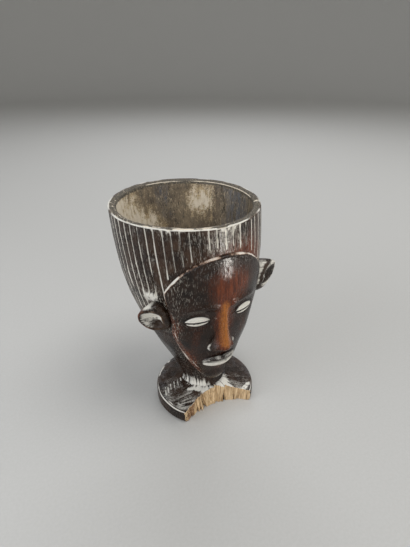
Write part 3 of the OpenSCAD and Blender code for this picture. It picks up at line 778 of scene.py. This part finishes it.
def neck():
    """Lower head and neck: a tapering round cut with long strokes, flared where it stands on the foot."""
    columns = 180
    turn = once_round(columns)
    base = (FOOT_H - 1) / math.cos(LEAN) - NECK_R * np.cos(turn - LEAN_TURN) * math.tan(LEAN)
    top = NAPE_Z + 0.2
    inside, knife_d, flare_out, tuck_in = 0.2, 0.85, 1.5, 0.6
    rows, masks = [], {}
    for share in np.concatenate([np.linspace(0, 0.1, 9)[:-1], np.linspace(0.1, 1, 60)]):
        z = base + (top - base) * share
        marks = knife_d * knife_round(turn, 18, z / 16, 71)
        flare = flare_out * np.exp(-(z - base - 0.6) / 1.7)
        r = head_r(z) - inside + marks + flare - tuck_in * ease(2.0, 0, top - z)
        low = np.exp(-np.clip(z - base - 2, 0, None) / 6)
        torn = mottle_round(turn, 26, z / 3, 72)
        front = about(turn, -48, 56)
        scratch = mottle_round(turn, 90, z / 14, 73)
        keep(rows, masks, leaning(turn, z, r),
             clay=low * (0.15 + 0.4 * torn + 0.7 * scratch) * (0.1 + 1.05 * front),
             worn=0.5 * marks * torn + 0.3 * low,
             warm=0.3 * torn * ease(20, 40, z),
             dust=0.15 + 0.3 * scratch + 0.2 * front)
    dress(skin("neck_cut", np.array(rows), masks), polished_wood, "dark_wood", "neck")


def foot_top(r):
    """Height of the foot's top at a radius: a sweep from the edge up to the neck."""
    share = np.clip((FOOT_R - r) / (FOOT_R - SEAT_R), 0, 1)
    return FOOT_EDGE + (FOOT_H - FOOT_EDGE) * share ** FOOT_SWEEP


def break_r(turn, height):
    """Distance from the foot's middle to the broken side, far off where the foot is whole."""
    away = (turn - BREAK_TURN + math.pi) % (2 * math.pi) - math.pi
    near = SEAT_R + FIBRE_ROOM + (FOOT_H - height) * math.tan(BREAK_LEAN)
    bend = BREAK_HOLLOW / (0.7 * FOOT_R) ** 2 * np.sin(away) ** 2
    room = np.cos(away) ** 2 - 4 * bend * near
    hit = (np.cos(away) > 0) & (room > 0)
    reach = 2 * near / (np.cos(away) + np.sqrt(np.where(hit, room, 1)))
    return np.where(hit, reach, 9 * FOOT_R)


def foot_cuts():
    """Row of short uneven cuts on the swept top, each with its two ends and its width."""
    count, first_x, step_x, first_y, step_y = 6, -28.6, 2.4, 1.2, 0.3
    cuts = []
    for k in range(count):
        middle_x = first_x + step_x * k + 0.7 * scatter(k, 4, 92)
        middle_y = first_y + step_y * k + 2.0 * (scatter(k, 1, 92) - 0.5)
        half = 1.2 + 1.9 * scatter(k, 2, 92)
        cuts.append(((middle_x - 0.3 * half, middle_y - half), (middle_x + 0.3 * half, middle_y + half),
                     0.3 + 0.25 * scatter(k, 3, 92)))
    return cuts


def foot_clay(turn, r, inward, patchy, hatch, torn_edge, painted_back_highlights):
    """Clay on the swept top: a thin film that is partly a painted sheen, or the filled cuts and the smears
    round the neck and the edge, with streaks of painted sheen and painted highlights on the back edge.
    """
    x, y = r * np.sin(turn), -r * np.cos(turn)
    off_neck = r - SEAT_R
    crumbs = mottle(x / 1.3, y / 1.3, 94)
    grazed = mottle((x * 0.2 + y * 0.98) / 0.7, (x * 0.98 - y * 0.2) / 6, 90)
    scraped = bell(np.hypot(x + 20, y + 13), 7.5) + 0.4 * bell(np.hypot(x - 20, y + 12), 8)
    sides = about(turn, -75, 42) + about(turn, 42, 24)
    # A thin clay film over the top, made strong enough that it also paints a grey sheen of reflected light
    film_and_painted_sheen = ((0.12 + 0.16 * patchy + 0.12 * grazed + 0.17 * sides + 0.2 * grazed * scraped)
            * ease(1, 5, off_neck))
    dash = stroke(x, y, (-15.5, -7.2), (-10, -11), 1.1)
    prong = stroke(x, y, (18.5, -20), (25, -16.5), 1.7)
    rays = mottle(turn * 30, off_neck / 9, 95)
    near_neck = ease(5, 0.8, off_neck) * (0.05 + 0.25 * patchy + 0.25 * crumbs + 0.75 * rays)
    around_neck = near_neck * (about(turn, -42, 44) + 0.9 * about(turn, 30, 20))
    spokes = mottle(turn * 24, r / 9, 93) ** 2 * about(turn, 36, 24) * ease(13, 2, off_neck)
    # Streaks along the edge on the back left: painted sheen, carried by the clay mask
    painted_sheen_streaks = mottle(inward / 0.9, turn * 5, 96) ** 2 * ease(11, 2, inward) * about(turn, -72, 34)
    # Clay in the cuts, round the neck and on the edge, with painted sheen streaks and the painted highlights
    # at the back edge
    rubbed = (hatch * (0.55 + 0.6 * crumbs) + 0.95 * dash * (0.6 + 0.6 * crumbs) + around_neck
              + 2.0 * spokes + prong * (0.4 + crumbs) + 0.5 * torn_edge * (0.2 + patchy)
              + 1.2 * painted_back_highlights * ease(2.0, 1.3, inward) + 0.95 * painted_sheen_streaks)
    return np.maximum(film_and_painted_sheen, rubbed)


def foot():
    """Round foot with a worn edge; its front has broken off along the grain and left torn fibres."""
    columns = 640
    turn = once_round(columns)
    rows, masks = [], {}

    def ring(r, height):
        """One loop of the foot."""
        return np.stack([r * np.sin(turn), -r * np.cos(turn), np.broadcast_to(height, turn.shape)], -1) * MM

    def splinters(r, height):
        """Torn fibres: long ridges up the broken side with deep gaps, ragged along its length."""
        coarse_d, fine_d, gap_d, chip_d = 2.8, 1.1, 1.8, 2.0
        run = turn * r
        coarse = mottle(run / 3.1, height / 26, 81)
        fine = mottle(run / 0.9, height / 12, 82)
        gap = ease(0.72, 0.9, mottle(run / 1.5, height / 30, 89))
        chipped = ease(5, 0, height) * ease(0.45, 0.9, mottle(run / 4.2, 0 * run, 91))
        return coarse_d * (coarse - 0.5) + fine_d * (fine - 0.5) - gap_d * gap - chip_d * chipped, gap

    def side_r(height):
        """Radius of the side at a height, how far it is broken there, and the gaps between the fibres."""
        torn = break_r(turn, height)
        shift, gap = splinters(np.minimum(torn, FOOT_R), height)
        torn = torn + shift
        worn_under, dent_d = 0.8, 0.35
        dents = mottle_round(turn, 24, height / 8, 83)
        whole = FOOT_R - worn_under * ease(1.2, 0, height) + dent_d * (dents - 1)
        return np.minimum(torn, whole), ease(0.9, -0.2, torn - whole), gap

    # Height of the upper edge, where the side meets the swept top
    edge_z = np.full(columns, float(FOOT_EDGE))
    for _ in range(12):
        edge_r, broken, _ = side_r(edge_z)
        edge_z = 0.5 * edge_z + 0.5 * foot_top(edge_r)
    low_r, _, _ = side_r(0.0)
    for share in (0.06, 0.4, 0.75, 0.97):
        keep(rows, masks, ring(low_r * share, 0.0), worn=0.5)
    whole_bevel, torn_bevel = 1.3, 0.25
    bevel = whole_bevel * (1 - broken) + torn_bevel * broken
    for share in np.linspace(0, 1, 36):
        height = (edge_z - bevel) * share
        r, torn, gap = side_r(height)
        mottled_patch = mottle_round(turn, 40, height / 3, 84)
        tip = about(turn, -45, 5) * torn
        keep(rows, masks, ring(r, height),
             raw=torn * (1 - 0.75 * gap) * (1 - 0.7 * tip),
             worn=0.45 * mottled_patch * ease(3, 0, height) + 0.8 * tip,
             warm=0.35 * mottled_patch * (1 - torn) + tip,
             dust=0.5 * mottled_patch)
    r_edge, torn, _ = side_r(edge_z)
    rub = mottle_round(turn, 34, turn * 0, 85)
    frayed = mottle_round(turn, 110, turn * 0, 98)
    # Two frayed dashes on the edge at the back, painted highlights carried by the clay mask, and the
    # stretches where the edge is lined with clay
    painted_back_highlights = (0.35 + 0.8 * frayed) * (ease(12, 6, np.abs(degrees_from(turn, -132)))
                                           + ease(4.5, 1, np.abs(degrees_from(turn, -152))))
    lined = about(turn, -78, 36) + 0.7 * about(turn, 45, 25)
    for angle in np.radians([25, 50, 72, 90]):
        r = r_edge - bevel * (1 - np.cos(angle))
        line = bell(math.degrees(angle) - 62, 22) * (0.05 + 0.45 * rub + 0.75 * lined) * (1 - torn)
        # The painted highlights at the back run onto the outer half of the bevel
        line = line + 1.1 * painted_back_highlights * ease(38, 66, math.degrees(angle))
        keep(rows, masks, ring(r, edge_z - bevel * (1 - np.sin(angle))),
             clay=line, worn=0.35 * (1 - torn), raw=0.8 * torn)
    # Swept top, with short cuts rubbed with clay on one side, and clay smeared round the neck
    cuts = foot_cuts()
    inside, knife_d, cut_d, under_neck = 0.2, 0.45, 0.4, 2.5
    start = r_edge - bevel
    for share in np.linspace(0.02, 1, 70):
        r = start + (SEAT_R - under_neck - start) * share
        x, y = r * np.sin(turn), -r * np.cos(turn)
        inward = r_edge - r
        marks = knife_d * knife(x / 5, y / 5, 86)
        patchy = mottle(x / 4, y / 4, 88)
        hatch = np.clip(sum(stroke(x, y, *cut) for cut in cuts), 0, 1)
        torn_edge = ease(3, 0, inward) * torn
        height = np.minimum(foot_top(r), FOOT_H) + marks - inside - cut_d * hatch
        keep(rows, masks, ring(r, np.where(r < SEAT_R, FOOT_H - inside, height)),
             clay=foot_clay(turn, r, inward, patchy, hatch, torn_edge, painted_back_highlights),
             worn=0.5 * torn_edge + 0.3 * marks, warm=0.2 * patchy, dust=0.2)
    dress(skin("foot_broken", np.array(rows), masks), combed_wood, "dark_wood", "foot")


cup()
coiffure()
face()
eye(-1, "eye_right_lids", "eye_right")
eye(1, "eye_left_lids", "eye_left")
lip(1, 0.7 * EYE_W, 0.8, 0.55, "upper_lip_full", "upper_lip", "dark_wood")
lip(-1, 0.66 * EYE_W, 0, 1.0, "lower_lip_full", "lower_lip", "clay_wood")
ear(-1, "ear_right_rolled", "ear_right")
ear(1, "ear_left_rolled", "ear_left")
neck()
foot()


# Studio

def pale_sweep():
    """Plain pale paper that runs flat under the cup and curves up all round it."""
    far, bend, high, columns = 1.7, 0.6, 2.4, 96
    line = [(r, 0.0) for r in (0.001, 0.3, 0.8, far)]
    line += [(far + bend * math.sin(a), bend * (1 - math.cos(a))) for a in np.linspace(0.1, math.pi / 2, 14)]
    line += [(far + bend, high)]
    turn = once_round(columns)
    points = [(r * math.sin(t), r * math.cos(t), up) for r, up in line for t in turn]
    faces = [(k * columns + i, k * columns + (i + 1) % columns, (k + 1) * columns + (i + 1) % columns,
              (k + 1) * columns + i) for k in range(len(line) - 1) for i in range(columns)]
    mesh = bpy.data.meshes.new("sweep")
    mesh.from_pydata(points, [], faces + [tuple(range(columns))])
    mesh.shade_smooth()
    sweep = bpy.data.objects.new("sweep", mesh)
    bpy.context.scene.collection.objects.link(sweep)
    # Matt paper: an even pale grey without gloss, its tooth of 1.5 mm drawn coarser than a real one
    tooth_mm = 1.5
    paper = bpy.data.materials.new("matt_paper")
    paper.use_nodes = True
    tree = paper.node_tree
    place = add(tree, "ShaderNodeTexCoord", pick="Object")
    tooth = add(tree, "ShaderNodeTexNoise", {"Vector": place, "Scale": 1 / (tooth_mm * MM), "Detail": 2})
    tone = add(tree, "ShaderNodeMix", {0: tooth, 6: tint("#b0afab"), 7: tint("#b9b8b5")},
               pick=2, data_type="RGBA")
    tree.links.new(tone, tree.nodes["Principled BSDF"].inputs["Base Color"])
    tree.nodes["Principled BSDF"].inputs["Roughness"].default_value = 0.9
    mesh.materials.append(paper)


def place_lamp(name, data, at, power, colour, towards=(0, 0, 0.07)):
    """Puts a lamp in the studio, not seen itself, turned towards the middle of the cup or another point."""
    data.energy = power
    data.color = tint(colour)[:3]
    lamp = bpy.data.objects.new(name, data)
    lamp.location = at
    lamp.rotation_euler = (Vector(towards) - Vector(at)).to_track_quat("-Z", "Y").to_euler()
    lamp.visible_camera = False
    bpy.context.scene.collection.objects.link(lamp)


def softbox(name, at, size, power, colour):
    """Large flat soft lamp."""
    data = bpy.data.lights.new(name, "AREA")
    data.shape = "RECTANGLE"
    data.size, data.size_y = size
    place_lamp(name, data, at, power, colour)


def lantern(name, at, radius, power, colour):
    """Paper lantern that lights the cup, the floor and the walls alike."""
    data = bpy.data.lights.new(name, "POINT")
    data.shadow_soft_size = radius
    place_lamp(name, data, at, power, colour)


def gleam(name, at, towards, radius, beam, power, colour):
    """Small low lamp with a narrow beam, for a gleam on the hair and the brow or light on the foot."""
    data = bpy.data.lights.new(name, "SPOT")
    data.shadow_soft_size = radius
    data.spot_size = beam
    data.spot_blend = 0.4
    place_lamp(name, data, at, power, colour, towards)


GLEAM_AT = (0.155, -0.29, 0.05)
pale_sweep()
lantern("overhead", (0.3, -0.25, 1.4), 0.4, 36, "#ffffff")
softbox("front", (-0.75, -0.95, 0.75), (0.8, 0.8), 6, "#ffffff")
softbox("left", (-1.0, -0.09, 0.55), (0.7, 0.7), 4, "#f1f6ff")
softbox("right", (0.95, -0.4, 0.5), (0.7, 0.7), 2.8, "#ffffff")
softbox("behind", (0.4, 0.78, 0.75), (0.7, 0.5), 4, "#f6f9ff")
softbox("low_left", (-0.42, 0.05, 0.13), (0.3, 0.22), 0.4, "#f1f6ff")
gleam("low_right", GLEAM_AT, (0.008, -0.042, 0.114), 0.035, math.radians(12), 2.8, "#fffaf2")
gleam("low_foot", GLEAM_AT, (-0.004, -0.016, 0.016), 0.045, math.radians(15), 1.1, "#fffaf2")
world = bpy.data.worlds.new("room")
world.use_nodes = True
world.node_tree.nodes["Background"].inputs["Color"].default_value = tint("#e6e6e4")
world.node_tree.nodes["Background"].inputs["Strength"].default_value = 0.25
bpy.context.scene.world = world

# Camera at the photograph's view
LOOK_TURN = math.radians(27)
LOOK_DOWN = math.radians(29.35)
CAMERA_AT = (-0.0947, -0.1865, 0.2082)
LENS_MM = 27.05
look = Vector((math.sin(LOOK_TURN) * math.cos(LOOK_DOWN), math.cos(LOOK_TURN) * math.cos(LOOK_DOWN),
               -math.sin(LOOK_DOWN)))
camera = bpy.data.objects.new("camera", bpy.data.cameras.new("camera"))
camera.location = CAMERA_AT
camera.rotation_euler = look.to_track_quat("-Z", "Y").to_euler()
camera.data.lens = LENS_MM
camera.data.sensor_width = 36
camera.data.clip_start = 0.01
bpy.context.scene.collection.objects.link(camera)
bpy.context.scene.camera = camera
bpy.context.scene.view_settings.view_transform = "Standard"
